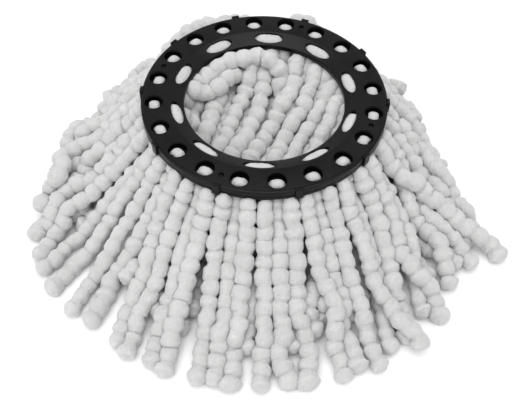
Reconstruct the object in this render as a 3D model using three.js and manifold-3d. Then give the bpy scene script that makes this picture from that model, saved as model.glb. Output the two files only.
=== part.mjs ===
// Head of a round spin mop, standing on its strands as it does on a floor.
// A two-part plastic ring grips folded chenille strands. The handle's plate snaps into its opening.
// Millimetres, +Z up. The model is built around the ring's axis with the floor at z = 0, and the
// whole head is then moved so that the middle of its footprint is the origin.

import * as THREE from 'three';
import { mergeVertices } from 'three/addons/utils/BufferGeometryUtils.js';
import Module from 'manifold-3d';

const wasm = await Module();
wasm.setup();

// Ring
const ringRadius = 80;
const openingRadius = 52.5;
const topHeight = 66;
const ledgeDrop = 1;
const ledgeWidth = 1.2;
const skirtHeight = 4;
const upperWall = 1.8;
const lowerThickness = 2.3;
const coneWidth = 10;
const coneDrop = 4;
const lipWall = 2;
const skirtWall = 2.2;

// Openings in the ring, all spaced evenly around it
const holeCount = 20;
const holeCircle = 71.5;
const holeDiameter = 12;
const windowLength = 19.5;
const windowWidth = 6.6;
const windowInset = 5.1;

// Locating pins and snap hooks that hold the two rings together
const pinCount = 4;
const pinCircle = 72;
const pinAzimuth = 63;
const pinDiameter = 3;
const pinRecess = 0.8;
const hookWidth = 5;
const hookThickness = 1;
const hookCatch = 1.2;

// Strands. A fold is the stretch that is bent over a bar of the lower ring, and its tails hang below.
const barWidth = 3;
const foldThickness = 4.4;
const foldWidth = 5.8;
const foldRecess = 1.7;
const innerFoldThickness = 6.7;
const knuckleRadius = 7;
const tailAngle = 65;
const tailSpread = 38;
const tailDepth = 16;
const tipDepth = 10;
const landingShare = 0.35;
const innerRadius = 12;
const innerCentreDrop = 20.4;
const innerEdgeDrop = 5.4;
const innerFootRound = 8;

// How far the outer tails reach from the axis where they lie on the floor, as azimuth and reach.
// The head was set down moving back, so the strands trail long in front and tuck in behind.
const reaches = [
  [30, 118],
  [80, 128],
  [130, 148],
  [165, 132],
  [203, 174],
  [270, 184],
  [324, 178],
  [350, 124],
];

// Clearance between pieces that touch
const fit = 0.3;

// Heights and pitches that follow from the sizes above
const ledgeHeight = topHeight - ledgeDrop;
const partingHeight = ledgeHeight - skirtHeight;
const lowerTop = partingHeight - fit;
const lowerBottom = lowerTop - lowerThickness;
const holePitch = THREE.MathUtils.degToRad(360 / holeCount);
const windowCount = holeCount / 2;
const windowPitch = 2 * holePitch;
const firstWindow = holePitch / 2;
const firstHook = firstWindow + windowPitch / 2;
const lipRadius = openingRadius + lipWall;
const coneRadius = openingRadius + coneWidth;
const windowCircle = openingRadius + windowInset;
const plateUnder = topHeight - upperWall;
const hingeHeight = lowerBottom - fit - knuckleRadius;

const latheSides = 60;
const farAway = 300;

const black = new THREE.MeshStandardMaterial({ color: 0x1d1d1f, roughness: 0.42, metalness: 0 });
const microfibre = new THREE.MeshStandardMaterial({ color: 0xe2e2e0, roughness: 0.95, metalness: 0 });

// Axes of a piece in its own sector: x points out from the ring's axis, y along the ring, z up.
const across = new THREE.Matrix4().makeBasis(
  new THREE.Vector3(0, 1, 0),
  new THREE.Vector3(0, 0, 1),
  new THREE.Vector3(1, 0, 0),
);
const sideways = new THREE.Matrix4().makeBasis(
  new THREE.Vector3(1, 0, 0),
  new THREE.Vector3(0, 0, 1),
  new THREE.Vector3(0, -1, 0),
);

function solidOf(geometry) {
  const bare = geometry.clone();
  bare.deleteAttribute('normal');
  bare.deleteAttribute('uv');
  const merged = mergeVertices(bare);
  return new wasm.Manifold(
    new wasm.Mesh({
      numProp: 3,
      vertProperties: new Float32Array(merged.attributes.position.array),
      triVerts: new Uint32Array(merged.index.array),
    }),
  );
}

function geometryOf(solid) {
  const mesh = solid.getMesh();
  const geometry = new THREE.BufferGeometry();
  geometry.setAttribute('position', new THREE.BufferAttribute(mesh.vertProperties, 3));
  geometry.setIndex(new THREE.BufferAttribute(mesh.triVerts, 1));
  geometry.computeVertexNormals();
  return geometry;
}

// A body of revolution from a closed list of [radius, height] points, anticlockwise.
function turned(points) {
  const closed = [...points, points[0]];
  const profile = closed.map(([radius, height]) => new THREE.Vector2(radius, height));
  return solidOf(new THREE.LatheGeometry(profile, latheSides).rotateX(Math.PI / 2));
}

// A shape pushed through half its depth to either side of its own plane.
function pushed(shape, depth, curveSegments = 6) {
  const geometry = new THREE.ExtrudeGeometry(shape, { depth, curveSegments, bevelEnabled: false });
  return geometry.translate(0, 0, -depth / 2);
}

function upright(shape, bottom, top, curveSegments) {
  const geometry = pushed(shape, top - bottom, curveSegments);
  return geometry.translate(0, 0, (top + bottom) / 2);
}

function polygon(points) {
  return new THREE.Shape(points.map(([x, y]) => new THREE.Vector2(x, y)));
}

function circle(radius) {
  const shape = new THREE.Shape();
  shape.absarc(0, 0, radius, 0, 2 * Math.PI, false);
  return shape;
}

// A slot with round ends, long along y.
function slot(length, width) {
  const radius = width / 2;
  const straight = (length - width) / 2;
  const shape = new THREE.Shape();
  shape.absarc(0, straight, radius, 0, Math.PI, false);
  shape.absarc(0, -straight, radius, Math.PI, 2 * Math.PI, false);
  return shape;
}

// Copies of one cutter or boss around the ring's axis, as one solid.
function around(geometry, radius, count, firstAzimuth) {
  const copies = [];
  for (let i = 0; i < count; i += 1) {
    const azimuth = firstAzimuth + (i * 2 * Math.PI) / count;
    copies.push(solidOf(geometry.clone().translate(radius, 0, 0).rotateZ(azimuth)));
  }
  return wasm.Manifold.union(copies);
}

// Height of the ring's top at a radius: flat outside, and a cone that dips to the opening.
function topAt(radius) {
  return Math.min(topHeight, topHeight - (coneRadius - radius) * (coneDrop / coneWidth));
}

// Height of the cone's underside, which ends at the lip a clearance above the lower ring.
function underCone(radius) {
  const share = (radius - lipRadius) / (coneRadius - lipRadius);
  return THREE.MathUtils.lerp(lowerTop + fit, plateUnder, share);
}

function upperRing() {
  const skirtInside = ringRadius - skirtWall;
  const body = turned([
    [openingRadius, lowerBottom],
    [lipRadius, lowerBottom],
    [lipRadius, underCone(lipRadius)],
    [coneRadius, plateUnder],
    [skirtInside, plateUnder],
    [skirtInside, partingHeight],
    [ringRadius, partingHeight],
    [ringRadius, ledgeHeight],
    [ringRadius - ledgeWidth, ledgeHeight],
    [ringRadius - ledgeWidth, topHeight],
    [coneRadius, topHeight],
    [openingRadius, topAt(openingRadius)],
  ]);
  const holeCutter = upright(circle(holeDiameter / 2), partingHeight, topHeight + 1, 10);
  const windowCutter = upright(slot(windowLength, windowWidth), partingHeight - fit, topHeight, 5);
  const pinCutter = upright(circle(pinDiameter / 2 + fit), partingHeight, topHeight + 1, 5);
  return body
    .subtract(around(holeCutter, holeCircle, holeCount, 0))
    .subtract(around(windowCutter, windowCircle, windowCount, firstWindow))
    .subtract(around(pinCutter, pinCircle, pinCount, THREE.MathUtils.degToRad(pinAzimuth)));
}

// The two slots on either side of a bar, for a fold of this width along the bar.
function slotPair(thickness, width) {
  const inner = barWidth / 2;
  const outer = inner + thickness + 2 * fit;
  const half = width / 2 + fit;
  const left = polygon([[-half, inner], [half, inner], [half, outer], [-half, outer]]);
  const right = polygon([[-half, -outer], [half, -outer], [half, -inner], [-half, -inner]]);
  return upright([left, right], lowerBottom - 1, lowerTop + 1);
}

function innerFoldSpan() {
  const inside = lipRadius + fit;
  const outside = windowCircle + windowWidth / 2 + fit;
  return { middle: (inside + outside) / 2, width: outside - inside };
}

function snapHook() {
  const root = ringRadius - hookThickness;
  const inside = ringRadius + fit;
  const outside = inside + hookThickness;
  const catchEnd = inside - hookCatch;
  const catchUnder = ledgeHeight + fit;
  const catchTop = topHeight - fit / 2;
  const outline = polygon([
    [root, lowerBottom],
    [outside, lowerBottom],
    [outside, catchTop],
    [catchEnd, catchTop],
    [catchEnd, catchUnder],
    [inside, catchUnder],
    [inside, lowerTop],
    [root, lowerTop],
  ]);
  return pushed(outline, hookWidth).applyMatrix4(sideways);
}

function lowerRing() {
  const inside = lipRadius + fit;
  const plate = turned([
    [inside, lowerBottom],
    [ringRadius, lowerBottom],
    [ringRadius, lowerTop],
    [inside, lowerTop],
  ]);
  const inner = innerFoldSpan();
  const outerSlots = slotPair(foldThickness, foldWidth);
  // The inner slots run past the plate's edge, so they are notches that the upper ring's lip closes.
  const innerSlots = slotPair(innerFoldThickness, inner.width + 2 * fit);
  const pin = upright(circle(pinDiameter / 2), lowerTop - 1, topHeight - pinRecess, 5);
  return plate
    .subtract(around(outerSlots, holeCircle, holeCount, 0))
    .subtract(around(innerSlots, inner.middle - fit, windowCount, firstWindow))
    .add(around(pin, pinCircle, pinCount, THREE.MathUtils.degToRad(pinAzimuth)))
    .add(around(snapHook(), 0, windowCount, firstHook));
}

// A strand bent over a bar: an arch across the bar, whose legs end where the tails begin.
function fold(thickness, width, crown, legEnd) {
  const inner = barWidth / 2 + fit;
  const outer = inner + thickness;
  const round = Math.min(thickness, crown - lowerTop);
  const shape = new THREE.Shape();
  shape.moveTo(-outer, legEnd);
  shape.lineTo(-inner, legEnd);
  shape.lineTo(-inner, lowerTop + fit);
  shape.lineTo(inner, lowerTop + fit);
  shape.lineTo(inner, legEnd);
  shape.lineTo(outer, legEnd);
  shape.absarc(outer - round, crown - round, round, 0, Math.PI / 2, false);
  shape.absarc(round - outer, crown - round, round, Math.PI / 2, Math.PI, false);
  return pushed(shape, width, 4).applyMatrix4(across);
}

// The upright sector that one bundle keeps to, a clearance smaller than its share of the circle.
function sector(pitch) {
  const apex = fit / 2 / Math.sin(pitch / 2);
  const halfWidth = (farAway - apex) * Math.tan(pitch / 2);
  const outline = polygon([[apex, 0], [farAway, -halfWidth], [farAway, halfWidth]]);
  return solidOf(upright(outline, -1, topHeight + 1));
}

// The plan that outer tails keep to at every angle of their swing: no wider over the knuckle than
// the sector is at the knuckle's inner side, and widening with the sector beyond it.
function swingingSector() {
  const spread = Math.tan(holePitch / 2);
  const narrow = (holeCircle - knuckleRadius) * spread - fit;
  const wide = farAway * spread - fit;
  const shoulder = holeCircle + knuckleRadius;
  const outline = polygon([
    [0, -narrow],
    [shoulder, -narrow],
    [farAway, -wide],
    [farAway, wide],
    [shoulder, narrow],
    [0, narrow],
  ]);
  return solidOf(upright(outline, -1, topHeight + 1));
}

// Reach of the tails at an azimuth in degrees, eased between the stations on either side.
function reachAt(azimuth) {
  const stations = [...reaches, [reaches[0][0] + 360, reaches[0][1]]];
  const turn = azimuth < stations[0][0] ? azimuth + 360 : azimuth;
  const next = stations.findIndex(([station]) => station > turn);
  const [fromAzimuth, fromReach] = stations[next - 1];
  const [toAzimuth, toReach] = stations[next];
  const share = THREE.MathUtils.smoothstep(turn, fromAzimuth, toAzimuth);
  return THREE.MathUtils.lerp(fromReach, toReach, share);
}

// Outer tails: a knuckle that turns under the ring, then down to the floor and out along it.
function outerTails(reach) {
  const angle = THREE.MathUtils.degToRad(tailAngle);
  const floorLine = tailDepth / 2;
  const hinge = new THREE.Vector2(holeCircle, hingeHeight);
  const corner = new THREE.Vector2(holeCircle + (hingeHeight - floorLine) / Math.tan(angle), floorLine);
  const landing = new THREE.Vector2(THREE.MathUtils.lerp(corner.x, reach, landingShare), floorLine);
  const descent = new THREE.QuadraticBezierCurve(hinge, corner, landing);
  const steps = 5;
  const upper = [];
  const lower = [];
  for (let i = 0; i <= steps; i += 1) {
    const share = i / steps;
    const point = descent.getPoint(share);
    const tangent = descent.getTangent(share);
    const normal = new THREE.Vector2(-tangent.y, tangent.x);
    const half = THREE.MathUtils.lerp(knuckleRadius, floorLine, share);
    upper.push(point.clone().addScaledVector(normal, half));
    lower.push(point.clone().addScaledVector(normal, -half));
  }
  const shape = new THREE.Shape();
  shape.moveTo(lower[0].x, lower[0].y);
  lower.slice(1).forEach((point) => shape.lineTo(point.x, point.y));
  const tip = tipDepth / 2;
  shape.absarc(reach - tip, tip, tip, -Math.PI / 2, Math.PI / 2, false);
  upper.reverse().forEach((point) => shape.lineTo(point.x, point.y));
  shape.absarc(hinge.x, hinge.y, knuckleRadius, Math.PI / 2 - angle, (3 * Math.PI) / 2 - angle, false);
  const body = solidOf(pushed(shape, tailSpread, 5).applyMatrix4(sideways));
  return body.intersect(swingingSector());
}

// Inner bundle: the fold behind a window with the tails that are packed under the opening.
function innerBundle() {
  const span = innerFoldSpan();
  const inside = lipRadius + fit;
  const tailTop = lowerBottom - fit;
  const edgeHeight = lowerBottom - innerEdgeDrop;
  const centreHeight = lowerBottom - innerCentreDrop;
  const knuckleInside = (holeCircle - knuckleRadius) / Math.cos(holePitch / 2);
  const outerFace = (knuckleInside - fit) * Math.cos(windowPitch / 2);
  const shape = new THREE.Shape();
  shape.moveTo(inside, tailTop);
  shape.quadraticCurveTo(openingRadius, edgeHeight, innerRadius, centreHeight);
  shape.lineTo(innerRadius, 0);
  shape.lineTo(outerFace - innerFootRound, 0);
  shape.quadraticCurveTo(outerFace, 0, outerFace, innerFootRound);
  shape.lineTo(outerFace, tailTop);
  const tails = solidOf(pushed(shape, farAway, 4).applyMatrix4(sideways));
  const arch = fold(innerFoldThickness, span.width, topHeight, tailTop - 1);
  const cavity = turned([
    [inside, 0],
    [coneRadius, 0],
    [coneRadius, plateUnder - fit],
    [inside, underCone(inside) - fit],
  ]);
  const held = solidOf(arch.translate(span.middle, 0, 0));
  const turnedCavity = cavity.rotate(0, 0, -THREE.MathUtils.radToDeg(firstWindow));
  return held.intersect(turnedCavity).add(tails.intersect(sector(windowPitch)));
}

function place(group, name, geometry, material, azimuth = 0) {
  const mesh = new THREE.Mesh(geometry, material.clone());
  mesh.name = name;
  mesh.rotation.z = azimuth;
  group.add(mesh);
}

function numbered(name, index) {
  return `${name}_${String(index + 1).padStart(2, '0')}`;
}

const head = new THREE.Group();
place(head, 'upper_ring', geometryOf(upperRing()), black);
place(head, 'lower_ring', geometryOf(lowerRing()), black);

const outerFold = fold(foldThickness, foldWidth, topHeight - foldRecess, lowerBottom);
outerFold.translate(holeCircle, 0, 0);
for (let i = 0; i < holeCount; i += 1) {
  const azimuth = i * holePitch;
  const reach = reachAt(THREE.MathUtils.radToDeg(azimuth));
  place(head, numbered('fold', i), outerFold, microfibre, azimuth);
  place(head, numbered('tuft', i), geometryOf(outerTails(reach)), microfibre, azimuth);
}

const inner = geometryOf(innerBundle());
for (let i = 0; i < windowCount; i += 1) {
  place(head, numbered('inner_tuft', i), inner, microfibre, firstWindow + i * windowPitch);
}

const box = new THREE.Box3().setFromObject(head, true);
head.position.set(-(box.min.x + box.max.x) / 2, -(box.min.y + box.max.y) / 2, -box.min.z);

const group = new THREE.Group();
group.add(head);

export default group;
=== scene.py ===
"""Head of a round spin mop: chenille strands held by a two-part ring, standing on its strands."""

import math

import bmesh
import bpy
import numpy as np
from mathutils import Matrix, Vector


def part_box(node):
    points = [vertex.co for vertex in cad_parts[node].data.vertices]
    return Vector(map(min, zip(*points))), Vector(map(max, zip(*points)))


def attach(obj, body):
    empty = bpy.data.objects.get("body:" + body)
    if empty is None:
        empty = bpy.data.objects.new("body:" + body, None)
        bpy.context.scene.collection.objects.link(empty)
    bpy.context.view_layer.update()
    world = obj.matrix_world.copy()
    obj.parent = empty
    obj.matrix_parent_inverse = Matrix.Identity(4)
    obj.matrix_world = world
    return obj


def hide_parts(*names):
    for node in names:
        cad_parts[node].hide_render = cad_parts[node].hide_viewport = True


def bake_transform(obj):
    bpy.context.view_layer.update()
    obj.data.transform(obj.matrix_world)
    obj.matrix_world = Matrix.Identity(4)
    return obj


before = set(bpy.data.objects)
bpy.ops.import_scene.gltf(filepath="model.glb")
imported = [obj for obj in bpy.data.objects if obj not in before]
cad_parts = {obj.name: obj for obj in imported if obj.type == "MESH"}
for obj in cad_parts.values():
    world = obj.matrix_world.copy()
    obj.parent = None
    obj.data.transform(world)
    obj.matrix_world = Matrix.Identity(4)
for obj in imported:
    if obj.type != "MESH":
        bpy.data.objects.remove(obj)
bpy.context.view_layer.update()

# Upper ring: the moulded polypropylene cover, a flat band with a shallow cone down to the opening.
# It comes from one injection mould, with holes over the outer folds and windows over the inner
# ones, and its edges are left with the small radius of the mould.
plastic = bpy.data.materials.new("black_polypropylene")
plastic.use_nodes = True
nodes, links = plastic.node_tree.nodes, plastic.node_tree.links
skin = nodes["Principled BSDF"]
skin.inputs["IOR"].default_value = 1.49
skin.inputs["Specular IOR Level"].default_value = 0.18
place = nodes.new("ShaderNodeTexCoord")
grain = nodes.new("ShaderNodeTexNoise")
grain.inputs["Scale"].default_value = 2600
grain.inputs["Detail"].default_value = 3
links.new(place.outputs["Object"], grain.inputs["Vector"])
handling = nodes.new("ShaderNodeTexNoise")
handling.inputs["Scale"].default_value = 55
handling.inputs["Detail"].default_value = 6
handling.inputs["Roughness"].default_value = 0.62
links.new(place.outputs["Object"], handling.inputs["Vector"])
gloss = nodes.new("ShaderNodeMapRange")
gloss.inputs["From Min"].default_value = 0.3
gloss.inputs["From Max"].default_value = 0.72
gloss.inputs["To Min"].default_value = 0.26
gloss.inputs["To Max"].default_value = 0.42
links.new(handling.outputs["Fac"], gloss.inputs["Value"])
links.new(gloss.outputs["Result"], skin.inputs["Roughness"])
tint = nodes.new("ShaderNodeValToRGB")
tint.color_ramp.elements[0].position = 0.35
tint.color_ramp.elements[0].color = (0.0035, 0.0035, 0.0038, 1)
tint.color_ramp.elements[1].position = 0.75
tint.color_ramp.elements[1].color = (0.0065, 0.0065, 0.0068, 1)
links.new(handling.outputs["Fac"], tint.inputs["Fac"])
links.new(tint.outputs["Color"], skin.inputs["Base Color"])
pores = nodes.new("ShaderNodeBump")
pores.inputs["Strength"].default_value = 0.12
pores.inputs["Distance"].default_value = 0.0001
links.new(grain.outputs["Fac"], pores.inputs["Height"])
links.new(pores.outputs["Normal"], skin.inputs["Normal"])


def new_tree(name, sizes):
    """An empty tree that takes a mesh and these named sizes and gives a mesh."""
    tree = bpy.data.node_groups.new(name, "GeometryNodeTree")
    tree.interface.new_socket("Mesh", in_out="INPUT", socket_type="NodeSocketGeometry")
    tree.interface.new_socket("Mesh", in_out="OUTPUT", socket_type="NodeSocketGeometry")
    for title, kind in sizes:
        tree.interface.new_socket(title, in_out="INPUT", socket_type=kind)
    return tree


def add(tree, kind, sockets, **settings):
    """A node with its settings made and its sockets joined or set."""
    made = tree.nodes.new(kind)
    for title, value in settings.items():
        setattr(made, title, value)
    for title, value in sockets.items():
        if isinstance(value, bpy.types.NodeSocket):
            tree.links.new(value, made.inputs[title])
        else:
            made.inputs[title].default_value = value
    return made


def sums(tree, operation, *values, clamp=False):
    """The result of one step of arithmetic."""
    how = {"operation": operation, "use_clamp": clamp}
    return add(tree, "ShaderNodeMath", dict(enumerate(values)), **how).outputs[0]


def shaped(data, tree, sizes, name):
    """A plain mesh object from this mesh put through the tree with these sizes."""
    blank = bpy.data.objects.new(name + "_blank", data)
    bpy.context.collection.objects.link(blank)
    step = blank.modifiers.new("shape", "NODES")
    step.node_group = tree
    for item in tree.interface.items_tree:
        if item.in_out == "INPUT" and item.name in sizes:
            step[item.identifier] = sizes[item.name]
    bpy.context.view_layer.update()
    evaluated = blank.evaluated_get(bpy.context.evaluated_depsgraph_get())
    done = bpy.data.meshes.new_from_object(evaluated)
    done.name = name
    bpy.data.objects.remove(blank)
    bpy.data.meshes.remove(data)
    made = bpy.data.objects.new(name, done)
    bpy.context.collection.objects.link(made)
    return made


def closed_mesh(points, faces, name):
    """A mesh of these points and faces, with every face turned outward."""
    data = bpy.data.meshes.new(name)
    data.from_pydata(points, [], faces)
    check = bmesh.new()
    check.from_mesh(data)
    bmesh.ops.recalc_face_normals(check, faces=check.faces)
    check.to_mesh(data)
    check.free()
    return data


def spun(outline, sides, rounding, name):
    """A mesh turned round the ring's axis from a closed outline of [radius, height], its corners
    rounded to this radius."""
    eased = []
    for k, corner in enumerate(outline):
        corner = np.array(corner)
        to_last = np.array(outline[k - 1]) - corner
        to_next = np.array(outline[(k + 1) % len(outline)]) - corner
        cut = min(rounding, np.linalg.norm(to_last) / 3, np.linalg.norm(to_next) / 3)
        start = corner + to_last / np.linalg.norm(to_last) * cut
        end = corner + to_next / np.linalg.norm(to_next) * cut
        for share in (0, 0.35, 0.65, 1):
            rest = 1 - share
            eased.append(rest**2 * start + 2 * share * rest * corner + share**2 * end)
    points, faces = [], []
    for m in range(sides):
        turn = math.tau * m / sides
        points += [(r * math.cos(turn), r * math.sin(turn), z) for r, z in eased]
    n = len(eased)
    for m in range(sides):
        here, there = m * n, (m + 1) % sides * n
        for k in range(n):
            faces.append((here + k, there + k, there + (k + 1) % n, here + (k + 1) % n))
    return closed_mesh(points, faces, name)


def stations_round(tree, count, circle, first):
    """Points on a circle round the axis from a first azimuth, and the turn of each."""
    points = {"Vertices": count, "Radius": circle}
    ring_of_points = add(tree, "GeometryNodeMeshCircle", points).outputs[0]
    begun = add(tree, "ShaderNodeCombineXYZ", {"Z": first}).outputs[0]
    started = {"Geometry": ring_of_points, "Rotation": begun}
    started = add(tree, "GeometryNodeTransform", started).outputs[0]
    index = add(tree, "GeometryNodeInputIndex", {}).outputs[0]
    angle = sums(tree, "MULTIPLY_ADD", index, sums(tree, "DIVIDE", math.tau, count), first)
    spin = add(tree, "ShaderNodeCombineXYZ", {"Z": angle}).outputs[0]
    return started, add(tree, "FunctionNodeEulerToRotation", {0: spin}).outputs[0]


hole_count, hole_step = 20, 18
window_count, window_step, first_window = 10, 36, 9
cutting_tree = new_tree(
    "openings_in_the_cover",
    [
        ("Cutter bottom", "NodeSocketFloat"),
        ("Hole count", "NodeSocketInt"),
        ("Hole circle", "NodeSocketFloat"),
        ("Hole radius", "NodeSocketFloat"),
        ("Window count", "NodeSocketInt"),
        ("Window circle", "NodeSocketFloat"),
        ("Window length", "NodeSocketFloat"),
        ("Window width", "NodeSocketFloat"),
        ("Pin count", "NodeSocketInt"),
        ("Pin circle", "NodeSocketFloat"),
        ("Pin azimuth", "NodeSocketFloat"),
        ("Pin hole radius", "NodeSocketFloat"),
        ("Finish", "NodeSocketMaterial"),
    ],
)
t = cutting_tree
given = t.nodes.new("NodeGroupInput").outputs
height = 0.02
half_up = sums(t, "ADD", given["Cutter bottom"], height / 2)
middle = add(t, "ShaderNodeCombineXYZ", {"Z": half_up}).outputs[0]
pin_radius = given["Pin hole radius"]
solid = given["Mesh"]
for count, circle, first, across, along in (
    ("Hole count", "Hole circle", 0.0, given["Hole radius"], given["Hole radius"]),
    (
        "Window count",
        "Window circle",
        math.radians(first_window),
        sums(t, "MULTIPLY", given["Window width"], 0.5),
        sums(t, "MULTIPLY", given["Window length"], 0.5),
    ),
    ("Pin count", "Pin circle", given["Pin azimuth"], pin_radius, pin_radius),
):
    started, facing = stations_round(t, given[count], given[circle], first)
    raised = add(t, "GeometryNodeTransform", {"Geometry": started, "Translation": middle})
    punch = add(t, "GeometryNodeMeshCylinder", {"Vertices": 56, "Radius": 1.0, "Depth": height})
    size = add(t, "ShaderNodeCombineXYZ", {"X": across, "Y": along, "Z": 1.0})
    punches = add(
        t,
        "GeometryNodeInstanceOnPoints",
        {
            "Points": raised.outputs[0],
            "Instance": punch.outputs[0],
            "Rotation": facing,
            "Scale": size.outputs[0],
        },
    )
    whole = add(t, "GeometryNodeRealizeInstances", {"Geometry": punches.outputs[0]})
    how = {"operation": "DIFFERENCE", "solver": "MANIFOLD"}
    cut = add(t, "GeometryNodeMeshBoolean", {"Mesh 1": solid}, **how)
    t.links.new(whole.outputs[0], cut.inputs["Mesh 2"])
    solid = cut.outputs[0]
soft = add(t, "GeometryNodeSetShadeSmooth", {"Geometry": solid, "Shade Smooth": True})
whole = add(t, "GeometryNodeRealizeInstances", {"Geometry": soft.outputs[0]})
to_paint = {"Geometry": whole.outputs[0], "Material": given["Finish"]}
finished = add(t, "GeometryNodeSetMaterial", to_paint)
t.links.new(finished.outputs[0], t.nodes.new("NodeGroupOutput").inputs[0])

ring_low, ring_high = (np.array(corner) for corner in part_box("upper_ring"))
axis = np.array([(ring_low[0] + ring_high[0]) / 2, (ring_low[1] + ring_high[1]) / 2, 0.0])
ring_under, ring_top = float(ring_low[2]), float(ring_high[2])
hole_circle = 0.0715
window_circle = 0.0577
cover_outline = [
    [0.0525, ring_under],
    [0.0545, ring_under],
    [0.0545, 0.061],
    [0.0625, 0.0642],
    [0.0778, 0.0642],
    [0.0778, 0.061],
    [0.0800, 0.061],
    [0.0800, 0.065],
    [0.0788, 0.0651],
    [0.0788, ring_top],
    [0.0625, ring_top],
    [0.0525, 0.062],
]
ring_cover = shaped(
    spun(cover_outline, 240, 0.0005, "cover_outline"),
    cutting_tree,
    {
        "Cutter bottom": 0.0608,
        "Hole count": hole_count,
        "Hole circle": hole_circle,
        "Hole radius": 0.006,
        "Window count": window_count,
        "Window circle": window_circle,
        "Window length": 0.0203,
        "Window width": 0.0072,
        "Pin count": 4,
        "Pin circle": 0.072,
        "Pin azimuth": math.radians(63),
        "Pin hole radius": 0.0018,
        "Finish": plastic,
    },
    "ring_cover",
)
ring_cover.data.transform(Matrix.Translation(Vector(axis)))
ring_cover.data.set_sharp_from_angle(angle=math.radians(32))
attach(ring_cover, "head")
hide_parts("upper_ring")

# Lower ring: the slotted plate that the strands are folded over, in the same polypropylene.
# Its four pins find their holes in the cover, and its hooks snap over the cover's rim.
plate_mesh = bmesh.new()
plate_mesh.from_mesh(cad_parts["lower_ring"].data)
bmesh.ops.remove_doubles(plate_mesh, verts=plate_mesh.verts, dist=1e-6)
plate_data = bpy.data.meshes.new("strand_plate")
plate_mesh.to_mesh(plate_data)
plate_mesh.free()
plate_data.materials.clear()
plate_data.materials.append(plastic)
for face in plate_data.polygons:
    face.use_smooth = True
    face.material_index = 0
plate_data.set_sharp_from_angle(angle=math.radians(32))
strand_plate = bpy.data.objects.new("strand_plate", plate_data)
bpy.context.collection.objects.link(strand_plate)
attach(strand_plate, "head")
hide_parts("lower_ring")

# Strands: chenille cord of white microfibre, tufted in puffs along a thin core and sewn off at
# the tip. Four tails hang from each fold, and where the head stands they settle over each other,
# held up by those beneath, and trail to the front because it was set down moving back.
puff = 0.0093
thick = 0.0104
links_per_strand = 13


def trail(azimuth):
    """Turn, in degrees, by which the tails at an azimuth are combed round to the front. The head
    was set down a little askew, so the parting is not quite at its back."""
    front, askew = 270, 7.5
    aside = (azimuth + askew - front + 180) % 360 - 180
    if aside > 0:
        stations = [0, 30, 50, 70, 90, 110, 130, 150, 170, 180]
        turns = [0, 17, 27, 42, 64, 86, 104, 118, 100, 0]
    else:
        stations = [0, 38, 72, 90, 115, 140, 160, 172, 180]
        turns = [0, 24, 23, 42, 72, 94, 108, 90, 0]
    return -math.copysign(np.interp(abs(aside), stations, turns), aside)


def bounds_of_head(azimuth):
    """How far from the axis the strands lie at an azimuth in degrees, in metres."""
    stations = [-10, 30, 60, 85, 112, 128, 141, 155, 175, 190, 202, 215, 270, 324, 350, 390]
    reach_mm = [126, 116, 122, 118, 138, 134, 128, 140, 142, 154, 172, 186, 194, 186, 126, 116]
    return np.interp(azimuth, stations, reach_mm) / 1000


def fall(start, first, heading, slopes, ease, curl):
    """A strand's joints as it falls from the ring: it leaves towards one azimuth, turns to another,
    and slopes down by these angles at these distances, in millimetres, from the ring."""
    joints = [np.array(start, float)]
    for step in range(links_per_strand):
        along = (step + 0.5) * puff
        dip = math.radians(np.interp(along * 1000, slopes[0], slopes[1]))
        share = min(1, along / ease)
        share = share * share * (3 - 2 * share)
        azimuth = first + (heading - first) * share + curl * max(0, along - 0.06) / 0.07
        flat = math.cos(dip)
        ahead = [flat * math.cos(azimuth), flat * math.sin(azimuth), -math.sin(dip)]
        joints.append(joints[-1] + puff * np.array(ahead))
    return np.array(joints)


def root_at(azimuth, circle, sideways, drop):
    """A point this far under the ring at an azimuth in degrees, moved sideways along the ring."""
    a = math.radians(azimuth)
    return [
        circle * math.cos(a) - sideways * math.sin(a),
        circle * math.sin(a) + sideways * math.cos(a),
        ring_under - drop,
    ]


chance = np.random.default_rng(7)
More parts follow.
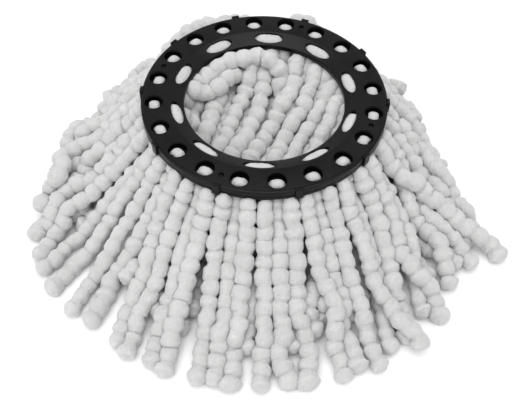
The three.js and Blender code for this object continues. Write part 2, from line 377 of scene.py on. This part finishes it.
# Two outer strands fall across their neighbours towards these azimuths, and the pair at one hole
# arches forward over the rim.
strays = {(18, 1): 328, (6, 1): 184}
looping_hole = 5
strands = []
owners = []
for hole in range(hole_count):
    for layer, side in (("over", -1), ("over", 1), ("between", 0), ("under", 0.4)):
        azimuth = hole_step * hole + side * 6
        out = {"over": 0.004, "between": 0.002, "under": -0.008}[layer]
        drop = 0.0 if layer == "over" else 0.002
        root = root_at(hole_step * hole, hole_circle + out, side * 0.0062, drop)
        lift = chance.uniform(-2.5, 2.5)
        slopes = {
            "over": ([0, 8, 18, 40, 90, 115, 140], [80, 52, 35 + lift, 29 + lift, 25, 14, 0]),
            "between": ([0, 8, 18, 40, 90, 115, 140], [80, 52, 35 + lift, 29 + lift, 25, 13, 0]),
            "under": ([0, 8, 18, 40, 75, 95, 140], [88, 80, 66 + lift, 44 + lift, 24, 8, 0]),
        }[layer]
        behind = layer != "over" and 18 < azimuth < 100
        if behind:  # they drop straight down, as the ring stands near the rear edge
            slopes = [0, 10, 40, 60, 140], [90, 82, 62 + 2 * lift, 16, 0]
        combed = trail(azimuth) * (0.6 if behind else 1)
        scatter = chance.normal(0, 8 if layer == "under" else 4)
        heading = math.radians(azimuth + combed + scatter)
        if (hole, side) in strays:
            heading = math.radians(strays[hole, side])
        curl = chance.normal(0, 0.5 if behind else 0.2)
        first, ease = azimuth, 0.05
        if layer == "under" and 100 < azimuth < 205:  # tucked in under the ring
            first, heading = azimuth + 180, math.radians(azimuth + 160)
            slopes = [0, 10, 25, 45, 140], [88, 76, 60, 8, 0]
        if layer != "over" and 60 < azimuth < 115:  # a curtain where the combing parts
            sidewise = 80 if (hole % 2 == 1) == (layer == "between") else -80
            heading = math.radians(azimuth + sidewise)
            slopes = [0, 8, 40, 58, 140], [90, 86, 80, 16, 0]
        if layer == "over" and hole == looping_hole:
            heading, ease = math.radians(226 + 4 * side), 0.1
            slopes = [0, 8, 18, 60, 90, 115, 140], [68, 42, 22, 15, 34, 20, 0]
        strands.append(fall(root, math.radians(first), heading, slopes, ease, curl))
        owners.append((layer, hole, side))
across_opening = math.radians(236)
beside = np.array([-math.sin(across_opening), math.cos(across_opening)])
bed = []
# The strands of one window curl round the edge of the opening or turn out beneath the rim, and
# two windows send a pair back under the opening, towards these azimuths, to fill the space there.
curling_window = 153
filling = {189: 330, 333: 205}
for window in range(window_count):
    azimuth = first_window + window_step * window
    for layer in (0, 1):
        for side in (-1, 1):
            sideways = side * (0.0045 + 0.006 * layer)
            root = root_at(azimuth, window_circle - 0.001 * layer, sideways, 0.0025)
            owner = ("inner", window, 2 * layer + (side + 1) // 2)
            if azimuth < 120:
                bed.append((float(beside @ root[:2]), root, owner))
                continue
            outward = azimuth + side * (5 + 6 * layer)
            heading = math.radians(outward + trail(outward) + chance.normal(0, 7))
            slopes = [0, 10, 30, 60, 85, 140], [88, 80, 66, 40, 6, 0]
            ease = 0.05
            if azimuth == curling_window and layer == 1:
                heading = outward = math.radians(262 + side * 3)
                slopes = [0, 8, 20, 60, 110, 140], [70, 42, 26, 22, 24, 5]
            if azimuth == curling_window and layer == 0:
                outward, heading, ease = 44 + 5 * side, math.radians(-75 + 10 * side), 0.12
                slopes = [0, 6, 14, 70, 90, 140], [55, 22, 4, 6, 24, 12]
            if azimuth in filling and layer == 1:
                outward, heading = azimuth + 180, math.radians(filling[azimuth])
                slopes = [0, 10, 25, 50, 140], [88, 70, 50, 8, 0]
            curl = chance.normal(0, 0.3)
            strands.append(fall(root, math.radians(outward), heading, slopes, ease, curl))
            owners.append(owner)
bed_width = 0.092
for lane, (offset, root, owner) in enumerate(sorted(bed, key=lambda one: one[0])):
    deep = lane % 2
    slopes = [0, 8, 20, 60, 110, 140], [[62, 34, 16, 15, 22, 5], [74, 48, 26, 16, 20, 5]][deep]
    joints = fall(root, across_opening, across_opening, slopes, 0.05, 0)
    place = -bed_width / 2 + bed_width * lane / (len(bed) - 1)
    shift = place - offset + chance.normal(0, 0.0012)
    share = np.minimum(1, np.arange(len(joints)) * puff / 0.05)
    joints[:, :2] += np.outer(shift * share * share * (3 - 2 * share), beside)
    strands.append(joints)
    owners.append(owner)
strands = np.array(strands)


def settled(strands, steps):
    """The strands pushed clear of each other, of the floor and of the ring's underside, each one
    keeping its length and its stiffness and holding towards the way it falls."""
    count, joints, _ = strands.shape
    wish = strands.reshape(-1, 3).copy()
    wish[:, 2] = np.maximum(wish[:, 2], thick / 2)
    now, before = wish.copy(), wish.copy()
    strand, joint = np.repeat(np.arange(count), joints), np.tile(np.arange(joints), count)
    free = (joint > 0).astype(float)[:, None]
    clear, carried, fastest, hold, weight = thick * 0.96, 0.7, 0.002, 0.03, 0.00006
    straight, stiffness, apart, gather = puff * 1.93, 0.35, 1.3, 0.4
    ring_inside, ring_outside, ring_gap = 0.049, 0.0855, 0.0048
    for step in range(steps):
        drift = (now - before) * carried
        speed = np.linalg.norm(drift, axis=1, keepdims=True)
        drift *= np.minimum(1, fastest / np.maximum(speed, 1e-9))
        before = now.copy()
        now = now + (drift + (wish - now) * hold) * free
        now[:, 2] -= weight * free[:, 0]
        if step % 6 == 0:
            square = np.zeros((len(now), len(now)), np.float32)
            for k in range(3):
                gap = now[:, k].astype(np.float32)
                square += (gap[:, None] - gap[None, :]) ** 2
            i, j = np.nonzero(np.triu(square < (clear * 1.5) ** 2, 1))
            near = ~((strand[i] == strand[j]) & (np.abs(joint[i] - joint[j]) < 3))
            near &= ~((joint[i] == 0) & (joint[j] == 0))
            i, j = i[near], j[near]
        for _ in range(6):
            lines = now.reshape(count, joints, 3)
            for odd in (0, 1):
                a, b = lines[:, odd:-1:2], lines[:, odd + 1 :: 2]
                pairs = min(a.shape[1], b.shape[1])
                a, b = a[:, :pairs], b[:, :pairs]
                span = b - a
                long = np.linalg.norm(span, axis=2, keepdims=True)
                pull = span * ((long - puff) / np.maximum(long, 1e-9))
                share = np.full((1, pairs, 1), 0.5)
                if odd == 0:
                    share[0, 0, 0] = 0
                a += pull * share
                b -= pull * (1 - share)
            span = lines[:, 2:] - lines[:, :-2]
            long = np.linalg.norm(span, axis=2, keepdims=True)
            stiff = span * (np.minimum(long - straight, 0) / np.maximum(long, 1e-9)) * stiffness
            bend = np.zeros_like(lines)
            bend[:, :-2] += stiff
            bend[:, 2:] -= stiff
            bend[:, 1:-1] *= 0.7
            lines += bend * free.reshape(count, joints, 1)
            now = lines.reshape(-1, 3)
            span = now[j] - now[i]
            long = np.linalg.norm(span, axis=1)
            inside = np.maximum(clear - long, 0)
            push = span * (inside / np.maximum(long, 1e-9))[:, None] * 0.5
            moved, hits = np.zeros_like(now), np.zeros(len(now))
            np.add.at(moved, i, -push)
            np.add.at(moved, j, push)
            np.add.at(hits, i[inside > 0], 1)
            np.add.at(hits, j[inside > 0], 1)
            now = now + moved / np.maximum(hits, 1)[:, None] * apart * free
            above_floor = np.maximum(now[:, 2], thick * 0.54)
            now[:, 2] = np.where(joint == 0, now[:, 2], above_floor)
            out = np.hypot(now[:, 0], now[:, 1])
            under = (out > ring_inside) & (out < ring_outside) & (joint > 0)
            below_ring = np.minimum(now[:, 2], ring_under - ring_gap)
            now[:, 2] = np.where(under, below_ring, now[:, 2])
            azimuth = np.degrees(np.arctan2(now[:, 1], now[:, 0])) % 360
            azimuth = np.where(azimuth > 350, azimuth - 360, azimuth)
            inward = np.minimum(1, (bounds_of_head(azimuth) - thick / 2) / np.maximum(out, 1e-6))
            now[:, :2] *= 1 - (1 - inward[:, None]) * gather * free
    return now.reshape(count, joints, 3)


strands = settled(strands, 120)
fullness = chance.uniform(0.9, 1.1, len(strands))

# Chenille: the finish of every strand and fold. It is a mat of split microfibre, white, without
# gloss, lit through at the edges of its puffs. Its colour varies in tone at random, and it is
# painted greyer in the pits of its fine nap, a painted shade.
chenille = bpy.data.materials.new("white_chenille")
chenille.use_nodes = True
nodes, links = chenille.node_tree.nodes, chenille.node_tree.links
pile = nodes["Principled BSDF"]
pile.inputs["Roughness"].default_value = 0.95
pile.inputs["Specular IOR Level"].default_value = 0.15
pile.inputs["Sheen Weight"].default_value = 0.2
pile.inputs["Sheen Roughness"].default_value = 0.55
pile.inputs["Subsurface Weight"].default_value = 0.75
pile.inputs["Subsurface Radius"].default_value = (1, 1, 1)
pile.inputs["Subsurface Scale"].default_value = 0.0045
lie = nodes.new("ShaderNodeAttribute")
lie.attribute_name = "yarn"
tufts = nodes.new("ShaderNodeTexNoise")
tufts.inputs["Scale"].default_value = 620
tufts.inputs["Detail"].default_value = 6
tufts.inputs["Roughness"].default_value = 0.68
links.new(lie.outputs["Vector"], tufts.inputs["Vector"])
cloudy = nodes.new("ShaderNodeTexNoise")
cloudy.inputs["Scale"].default_value = 70
cloudy.inputs["Detail"].default_value = 3
links.new(lie.outputs["Vector"], cloudy.inputs["Vector"])
# Painted shade: the colour ramp reads the nap noise that also sinks the bump, so the pits of the
# nap are painted darker; the cloudy noise mixed in is random tone.
tone_and_pit_shade = nodes.new("ShaderNodeValToRGB")
tone_and_pit_shade.color_ramp.elements[0].position = 0.3
tone_and_pit_shade.color_ramp.elements[0].color = (0.53, 0.53, 0.527, 1)
tone_and_pit_shade.color_ramp.elements[1].position = 0.7
tone_and_pit_shade.color_ramp.elements[1].color = (0.63, 0.63, 0.627, 1)
tone_and_pit_mix = nodes.new("ShaderNodeMix")
tone_and_pit_mix.data_type = "FLOAT"
tone_and_pit_mix.inputs[0].default_value = 0.45
links.new(cloudy.outputs["Fac"], tone_and_pit_mix.inputs[2])
links.new(tufts.outputs["Fac"], tone_and_pit_mix.inputs[3])
links.new(tone_and_pit_mix.outputs[0], tone_and_pit_shade.inputs["Fac"])
links.new(tone_and_pit_shade.outputs["Color"], pile.inputs["Base Color"])
nap = nodes.new("ShaderNodeBump")
nap.inputs["Strength"].default_value = 0.8
nap.inputs["Distance"].default_value = 0.0013
links.new(tufts.outputs["Fac"], nap.inputs["Height"])
links.new(nap.outputs["Normal"], pile.inputs["Normal"])


def fluffy(tree, mesh, pitch, detail):
    """The mesh with its surface swollen and sunk in soft lumps."""
    here = add(tree, "GeometryNodeInputPosition", {}).outputs[0]
    noise = {"Vector": here, "Scale": pitch, "Detail": detail}
    lumpy = add(tree, "ShaderNodeTexNoise", noise).outputs["Fac"]
    lumps = tree.nodes.new("NodeGroupInput").outputs["Lumps"]
    outward = add(tree, "GeometryNodeInputNormal", {}).outputs[0]
    by = sums(tree, "MULTIPLY", sums(tree, "SUBTRACT", lumpy, 0.5), lumps)
    swell = add(tree, "ShaderNodeVectorMath", {0: outward, "Scale": by}, operation="SCALE")
    return add(tree, "GeometryNodeSetPosition", {"Geometry": mesh, "Offset": swell.outputs[0]})


def marked_as_yarn(tree, shape):
    """The mesh with each point's place kept, so that the finish stays put as a strand swings."""
    here = add(tree, "GeometryNodeInputPosition", {}).outputs[0]
    kept = {"Geometry": shape.outputs[0], "Name": "yarn", "Value": here}
    how = {"data_type": "FLOAT_VECTOR", "domain": "POINT"}
    return add(tree, "GeometryNodeStoreNamedAttribute", kept, **how)


chenille_tree = new_tree(
    "chenille_cord",
    [
        ("Radius", "NodeSocketFloat"),
        ("Puff length", "NodeSocketFloat"),
        ("Waist", "NodeSocketFloat"),
        ("Tip swell", "NodeSocketFloat"),
        ("Root squeeze", "NodeSocketFloat"),
        ("Unevenness", "NodeSocketFloat"),
        ("Lumps", "NodeSocketFloat"),
        ("Sway", "NodeSocketFloat"),
        ("Plain length", "NodeSocketFloat"),
        ("Sides", "NodeSocketInt"),
        ("Seed", "NodeSocketInt"),
        ("Finish", "NodeSocketMaterial"),
    ],
)
t = chenille_tree
given = t.nodes.new("NodeGroupInput").outputs
where = add(t, "GeometryNodeInputPosition", {}).outputs[0]
sway = add(t, "ShaderNodeTexNoise", {"Vector": where, "Scale": 95.0, "Detail": 1.0})
from_middle = {0: sway.outputs["Color"], 1: (0.5, 0.5, 0.5)}
aside = add(t, "ShaderNodeVectorMath", from_middle, operation="SUBTRACT").outputs[0]
shift = add(t, "ShaderNodeVectorMath", {0: aside, "Scale": given["Sway"]}, operation="SCALE")
swayed = add(t, "GeometryNodeSetPosition", {"Geometry": given["Mesh"], "Offset": shift.outputs[0]})
line = add(t, "GeometryNodeMeshToCurve", {"Mesh": swayed.outputs[0]})
from_root, to_tip, which, fuller = (
    add(t, "GeometryNodeInputNamedAttribute", {"Name": title}, data_type="FLOAT").outputs[0]
    for title in ("from_root", "to_tip", "which", "fullness")
)
drawn = {"X": sums(t, "MULTIPLY", to_tip, 90.0), "Y": sums(t, "MULTIPLY", which, 3.7)}
drawn = add(t, "ShaderNodeCombineXYZ", drawn).outputs[0]
wander = {"Vector": drawn, "Scale": 1.0, "Detail": 1.0}
wander = add(t, "ShaderNodeTexNoise", wander).outputs["Fac"]
spaced = sums(t, "MULTIPLY_ADD", sums(t, "SUBTRACT", wander, 0.5), 0.006, to_tip)
turns = sums(t, "DIVIDE", spaced, given["Puff length"])
across = sums(t, "MULTIPLY_ADD", sums(t, "FRACT", turns), 2.0, -1.0)
bulge = sums(t, "SUBTRACT", 1.0, sums(t, "MULTIPLY", across, across), clamp=True)
number = sums(t, "MULTIPLY_ADD", which, 97.0, sums(t, "FLOOR", turns))
fatness = add(
    t,
    "FunctionNodeRandomValue",
    {
        2: sums(t, "SUBTRACT", 1.0, given["Unevenness"]),
        3: sums(t, "ADD", 1.0, given["Unevenness"]),
        "ID": number,
        "Seed": given["Seed"],
    },
    data_type="FLOAT",
).outputs[1]
plain = add(
    t,
    "ShaderNodeMapRange",
    {
        "Value": from_root,
        1: sums(t, "MULTIPLY", given["Plain length"], 0.6),
        2: given["Plain length"],
        3: 1.1,
        4: given["Waist"],
    },
    interpolation_type="SMOOTHSTEP",
).outputs[0]
body = sums(t, "MULTIPLY_ADD", sums(t, "SUBTRACT", fatness, plain), bulge, plain)
tip = add(
    t,
    "ShaderNodeMapRange",
    {
        "Value": to_tip,
        1: given["Puff length"],
        2: sums(t, "MULTIPLY", given["Puff length"], 0.4),
        3: 1.0,
        4: given["Tip swell"],
    },
    interpolation_type="SMOOTHSTEP",
).outputs[0]
rounded = sums(t, "MULTIPLY", given["Radius"], 0.85)
short = sums(t, "SUBTRACT", 1.0, sums(t, "DIVIDE", to_tip, rounded), clamp=True)
closing = sums(t, "SQRT", sums(t, "SUBTRACT", 1.0002, sums(t, "MULTIPLY", short, short)))
squeeze = add(
    t,
    "ShaderNodeMapRange",
    {"Value": from_root, 1: 0.002, 2: 0.012, 3: given["Root squeeze"], 4: 1.0},
    interpolation_type="SMOOTHSTEP",
).outputs[0]
girth = sums(t, "MULTIPLY", sums(t, "MULTIPLY", body, tip), sums(t, "MULTIPLY", closing, squeeze))
girth = sums(t, "MULTIPLY", girth, fuller)
sides = {"Resolution": given["Sides"], "Radius": 1.0}
ring_of = add(t, "GeometryNodeCurvePrimitiveCircle", sides, mode="RADIUS")
tube = add(
    t,
    "GeometryNodeCurveToMesh",
    {
        "Curve": line.outputs[0],
        "Profile Curve": ring_of.outputs[0],
        "Scale": sums(t, "MULTIPLY", girth, given["Radius"]),
        "Fill Caps": True,
    },
)
where = add(t, "GeometryNodeInputPosition", {}).outputs[0]
fluffed = fluffy(t, tube.outputs[0], 260.0, 3.0)
apart = add(t, "ShaderNodeSeparateXYZ", {0: where}).outputs
above_floor = sums(t, "SMOOTH_MAX", apart[2], 0.0001, 0.0012)
pressed = add(t, "ShaderNodeCombineXYZ", {"X": apart[0], "Y": apart[1], "Z": above_floor})
pressed = {"Geometry": fluffed.outputs[0], "Position": pressed.outputs[0]}
fluffed = add(t, "GeometryNodeSetPosition", pressed)
marked = marked_as_yarn(t, fluffed)
soft = add(t, "GeometryNodeSetShadeSmooth", {"Geometry": marked.outputs[0], "Shade Smooth": True})
whole = add(t, "GeometryNodeRealizeInstances", {"Geometry": soft.outputs[0]})
to_paint = {"Geometry": whole.outputs[0], "Material": given["Finish"]}
finished = add(t, "GeometryNodeSetMaterial", to_paint)
t.links.new(finished.outputs[0], t.nodes.new("NodeGroupOutput").inputs[0])


def distances(line):
    """How far along a line each of its points is."""
    return np.concatenate([[0], np.cumsum(np.linalg.norm(np.diff(line, axis=0), axis=1))])


def smooth_line(joints, spacing):
    """Points this far apart on the smooth curve through a strand's joints."""
    ends = np.vstack([2 * joints[0] - joints[1], joints, 2 * joints[-1] - joints[-2]])
    p0, p1, p2, p3 = ends[:-3], ends[1:-2], ends[2:-1], ends[3:]
    out = []
    for share in np.linspace(0, 1, 12, endpoint=False):
        square = (2 * p0 - 5 * p1 + 4 * p2 - p3) * share**2
        cube = (3 * p1 - p0 - 3 * p2 + p3) * share**3
        out.append(0.5 * (2 * p1 + (p2 - p0) * share + square + cube))
    line = np.vstack([np.stack(out, axis=1).reshape(-1, 3), joints[-1:]])
    along = distances(line)
    at = np.linspace(0, along[-1], int(round(along[-1] / spacing)) + 1)
    return np.stack([np.interp(at, along, line[:, k]) for k in range(3)], axis=1)


def cords_of(paths, numbers, name, sizes):
    """A piece of one or more chenille cords along these paths, in the row frame."""
    points, edges, root, tip, which, full = [], [], [], [], [], []
    for path, number in zip(paths, numbers):
        first = len(points)
        along = distances(path)
        points += [tuple(p) for p in path]
        edges += [(first + k, first + k + 1) for k in range(len(path) - 1)]
        root += list(along)
        tip += list(along[-1] - along)
        which += [float(number)] * len(path)
        full += [fullness[number]] * len(path)
    data = bpy.data.meshes.new(name + "_lines")
    data.from_pydata(points, edges, [])
    told = {"from_root": root, "to_tip": tip, "which": which, "fullness": full}
    for title, values in told.items():
        data.attributes.new(title, "FLOAT", "POINT").data.foreach_set("value", values)
    return shaped(data, chenille_tree, sizes, name)


cord_sizes = {
    "Radius": thick * 0.56,
    "Puff length": puff,
    "Waist": 0.74,
    "Tip swell": 1.1,
    "Root squeeze": 0.42,
    "Unevenness": 0.1,
    "Lumps": 0.0024,
    "Sway": 0.0034,
    "Plain length": 0.008,
    "Sides": 18,
    "Seed": 3,
    "Finish": chenille,
}

# Outer tails: at each hole two strands lie on top, each about 125 mm long and free at its tip,
# and two more lie beneath them. The four swing together under the ring, where they leave their
# slots.


def slot_directions(azimuth):
    """The way along a slot at this azimuth in degrees, and the way out from the axis."""
    a = math.radians(azimuth)
    return np.array([-math.sin(a), math.cos(a), 0.0]), np.array([math.cos(a), math.sin(a), 0.0])


leg = 0.004
step_along = 0.001
for hole in range(hole_count):
    slot_way, slot_out = slot_directions(hole_step * hole)
    pair = []
    for number, (layer, owner, side) in enumerate(owners):
        if owner != hole or layer == "inner":
            continue
        in_slot = axis + slot_out * (hole_circle + (0.001 if layer == "over" else -0.001))
        in_slot = in_slot + slot_way * leg * (-1 if side < 0 or layer == "under" else 1)
        in_slot[2] = ring_under - 0.0006
        path = smooth_line(np.vstack([in_slot, strands[number] + axis]), step_along)
        squeezed = np.interp(np.arange(len(path)), [2, 12], [cord_sizes["Root squeeze"], 1])
        highest = ring_under + 0.0012 - cord_sizes["Radius"] * squeezed
        path[:, 2] = np.minimum(path[:, 2], highest)
        if layer != "over":
            pair.append((path, number))
            continue
        name = f"strand_{hole + 1:02d}_{'left' if side < 0 else 'right'}"
        made = cords_of([path], [number], name, cord_sizes)
        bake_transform(made)
        if side < 0:
            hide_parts(f"tuft_{hole + 1:02d}")
    name = f"under_strands_{hole + 1:02d}"
    made = cords_of([p for p, _ in pair], [n for _, n in pair], name, cord_sizes)
    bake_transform(made)

# Inner tails: four strands from each window fold, packed into the space under the opening.
# Those at the back and right cross it just below the ring and give the head its bed, and two at
# the rear left curl round the opening's edge. They are fluffed up less near their folds.
for window in range(window_count):
    azimuth = first_window + window_step * window
    slot_way, slot_out = slot_directions(azimuth)
    paths, numbers = [], []
    for number, (layer, owner, place) in enumerate(owners):
        if owner != window or layer != "inner":
            continue
        side = -1 if place % 2 == 0 else 1
        sideways = side * (0.0035 + 0.0035 * (place // 2))
        in_slot = axis + slot_out * window_circle + slot_way * sideways
        in_slot[2] = ring_under + 0.0008
        paths.append(smooth_line(np.vstack([in_slot, strands[number] + axis]), step_along))
        numbers.append(number)
    inner_sizes = {**cord_sizes, "Plain length": 0.022 if azimuth < 160 else 0.012}
    made = cords_of(paths, numbers, f"inner_strands_{window + 1:02d}", inner_sizes)
    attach(made, "head")
    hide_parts(f"inner_tuft_{window + 1:02d}")

# Folds: the middle of each strand, pulled tight over a bar of the slotted plate. It shows in
# every hole as a smooth white roll, and fills every window up to the cone's surface.
around_tree = new_tree(
    "set_round_the_ring",
    [
        ("Count", "NodeSocketInt"),
        ("First azimuth", "NodeSocketFloat"),
        ("Circle", "NodeSocketFloat"),
        ("Finish", "NodeSocketMaterial"),
        ("Lumps", "NodeSocketFloat"),
        ("Lump pitch", "NodeSocketFloat"),
    ],
)
t = around_tree
given = t.nodes.new("NodeGroupInput").outputs
stations, facing = stations_round(t, given["Count"], given["Circle"], given["First azimuth"])
to_place = {"Points": stations, "Instance": given["Mesh"], "Rotation": facing}
placed = add(t, "GeometryNodeInstanceOnPoints", to_place)
whole = add(t, "GeometryNodeRealizeInstances", {"Geometry": placed.outputs[0]})
fluffed = fluffy(t, whole.outputs[0], sums(t, "DIVIDE", 1.0, given["Lump pitch"]), 2.0)
marked = marked_as_yarn(t, fluffed)
soft = add(t, "GeometryNodeSetShadeSmooth", {"Geometry": marked.outputs[0], "Shade Smooth": True})
to_paint = {"Geometry": soft.outputs[0], "Material": given["Finish"]}
finished = add(t, "GeometryNodeSetMaterial", to_paint)
t.links.new(finished.outputs[0], t.nodes.new("NodeGroupOutput").inputs[0])


def roll(span, crown, foot, half_width, depth, slope, name):
    """One fold as a closed tube: an arch along y over a bar, this far to each side, with its crown
    and feet at these heights. It leans by this slope along x, as the surface above it does."""
    points, faces = [], []
    steps, sides = 36, 24
    rise = crown - foot - depth / 2
    for k in range(steps + 1):
        turn = math.pi * k / steps
        across = math.copysign(abs(math.cos(turn)) ** 0.75, math.cos(turn))
        middle = np.array([0, -(span - depth / 2) * across, foot + rise * math.sin(turn) ** 0.75])
        normal = np.array([0, -math.cos(turn) * (rise + 0.001), math.sin(turn) * span])
        normal /= max(np.linalg.norm(normal), 1e-9)
        for m in range(sides):
            angle = math.tau * m / sides
            flat = np.array([half_width, 0, 0]) * math.cos(angle)
            point = middle + flat + normal * depth / 2 * math.sin(angle)
            points.append((point[0], point[1], point[2] + slope * point[0]))
    for k in range(steps):
        for m in range(sides):
            a, b = k * sides + m, k * sides + (m + 1) % sides
            faces.append((a, b, b + sides, a + sides))
    faces.append(tuple(range(sides))[::-1])
    faces.append(tuple(steps * sides + m for m in range(sides)))
    return closed_mesh(points, faces, name)


outer_folds = shaped(
    roll(0.0057, ring_top - 0.0015, ring_under - 0.0008, 0.0034, 0.0040, 0, "outer_roll"),
    around_tree,
    {
        "Count": hole_count,
        "First azimuth": 0.0,
        "Circle": hole_circle,
        "Finish": chenille,
        "Lumps": 0.0006,
        "Lump pitch": 0.0022,
    },
    "outer_folds",
)
outer_folds.data.transform(Matrix.Translation(Vector(axis)))
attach(outer_folds, "head")
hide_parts(*[f"fold_{hole + 1:02d}" for hole in range(20)])
window_folds = shaped(
    roll(0.0106, 0.0644, ring_under + 0.0004, 0.0037, 0.0052, 0.4, "window_roll"),
    around_tree,
    {
        "Count": window_count,
        "First azimuth": math.radians(first_window),
        "Circle": window_circle,
        "Finish": chenille,
        "Lumps": 0.0014,
        "Lump pitch": 0.0026,
    },
    "window_folds",
)
window_folds.data.transform(Matrix.Translation(Vector(axis)))
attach(window_folds, "head")

# Floor, light and camera: a plain pale floor under soft light from large panels, and the camera
# above the front of the head.
floor_mesh = bpy.data.meshes.new("floor")
floor_mesh.from_pydata([(-3, -3, 0), (3, -3, 0), (3, 3, 0), (-3, 3, 0)], [], [(0, 1, 2, 3)])
floor = bpy.data.objects.new("floor", floor_mesh)
bpy.context.collection.objects.link(floor)
pale = bpy.data.materials.new("pale_floor")
pale.use_nodes = True
pale.node_tree.nodes["Principled BSDF"].inputs["Base Color"].default_value = (0.93, 0.93, 0.93, 1)
pale.node_tree.nodes["Principled BSDF"].inputs["Roughness"].default_value = 0.9
floor.data.materials.append(pale)

world = bpy.data.worlds.new("studio")
world.use_nodes = True
world.node_tree.nodes["Background"].inputs["Color"].default_value = (1, 1, 1, 1)
world.node_tree.nodes["Background"].inputs["Strength"].default_value = 0.62
bpy.context.scene.world = world
for name, spot, wide, power in (
    ("top_panel", (0.0, -0.15, 1.5), 1.4, 15.5),
    ("front_panel", (-0.7, -1.0, 0.9), 1.0, 6),
):
    lamp = bpy.data.lights.new(name, "AREA")
    lamp.shape = "SQUARE"
    lamp.size = wide
    lamp.energy = power
    panel = bpy.data.objects.new(name, lamp)
    panel.location = spot
    panel.rotation_euler = (Vector((0, 0, 0.03)) - Vector(spot)).to_track_quat("-Z", "Y").to_euler()
    bpy.context.collection.objects.link(panel)
bpy.context.scene.view_settings.view_transform = "Standard"

lens = bpy.data.cameras.new("camera")
lens.lens = 51.48
lens.sensor_width = 36
lens.clip_start = 0.01
camera = bpy.data.objects.new("camera", lens)
camera.location = Vector(axis) + Vector((-0.0431, -0.3503, 0.417))
camera.rotation_mode = "XYZ"
heading, down, roll_angle = math.radians(-7.472), math.radians(37.055), math.radians(1.807)
camera.matrix_world = (
    Matrix.Translation(camera.location)
    @ Matrix.Rotation(heading, 4, "Z")
    @ Matrix.Rotation(down, 4, "X")
    @ Matrix.Rotation(roll_angle, 4, "Z")
)
bpy.context.collection.objects.link(camera)
bpy.context.scene.camera = camera
